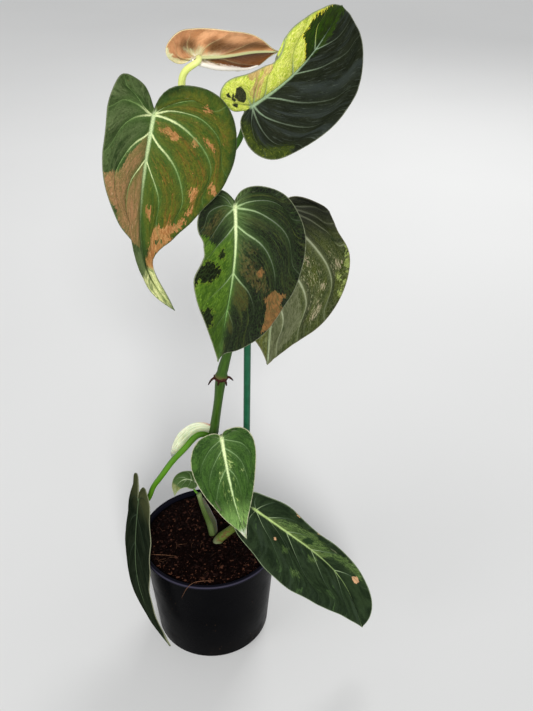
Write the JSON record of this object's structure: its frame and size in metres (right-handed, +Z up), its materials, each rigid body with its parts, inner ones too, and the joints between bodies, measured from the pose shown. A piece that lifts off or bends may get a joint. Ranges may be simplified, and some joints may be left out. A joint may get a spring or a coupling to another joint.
{
  "type": "potted climbing philodendron with velvet leaves",
  "caption": "Potted velvet-leaf philodendron with heart-shaped variegated leaves on a jointed stem beside a green stake, in a round black nursery pot.",
  "frame": {"origin": "centre of the pot's flat underside, on the surface it stands on", "axes": "+Z up, -Y towards the side the plant faces, +X to the right as seen from that side"},
  "size_m": [0.2159, 0.1452, 0.5311],
  "materials": {
    "pot": "thin black plastic, glossy",
    "soil": "damp dark brown coconut fibre",
    "stake": "teal green plastic coating",
    "main_stem": "fresh green stem, satin",
    "basal_sheath": "pale green dry sheath",
    "stalk": "fresh green leaf stalk, satin",
    "stalk_wing": "pale white-green membrane",
    "node_roots": "dry brown root stubs",
    "leaf_velvet": "velvety black-green with pale veins",
    "leaf_variegated": "velvety green with lime and pink-brown patches",
    "leaf_underside": "glossy grey-green underside with raised veins",
    "leaf_young": "bright green young leaf with a yellow midrib",
    "leaf_copper": "copper-brown newest leaf"
  },
  "bodies": {
    "root": {"pot": "pot", "soil": "soil", "stake": "stake", "main_stem": "main_stem", "basal_sheath": "basal_sheath", "stalk_wing": "stalk_wing", "node_roots": "node_roots", "leaf_newest": "leaf_copper", "leaf_top_right": "leaf_variegated", "leaf_upper_left": "leaf_variegated", "leaf_middle": "leaf_variegated", "leaf_back": "leaf_underside", "leaf_low_front": "leaf_young", "leaf_low_right": "leaf_velvet", "leaf_low_left": "leaf_velvet", "leaf_juvenile": "leaf_young", "stalk_newest": "stalk", "stalk_top_right": "stalk", "stalk_upper_left": "stalk", "stalk_middle": "stalk", "stalk_back": "stalk", "stalk_low_front": "stalk", "stalk_low_right": "stalk", "stalk_low_left": "stalk", "stalk_juvenile": "stalk"}
  },
  "joints": []
}
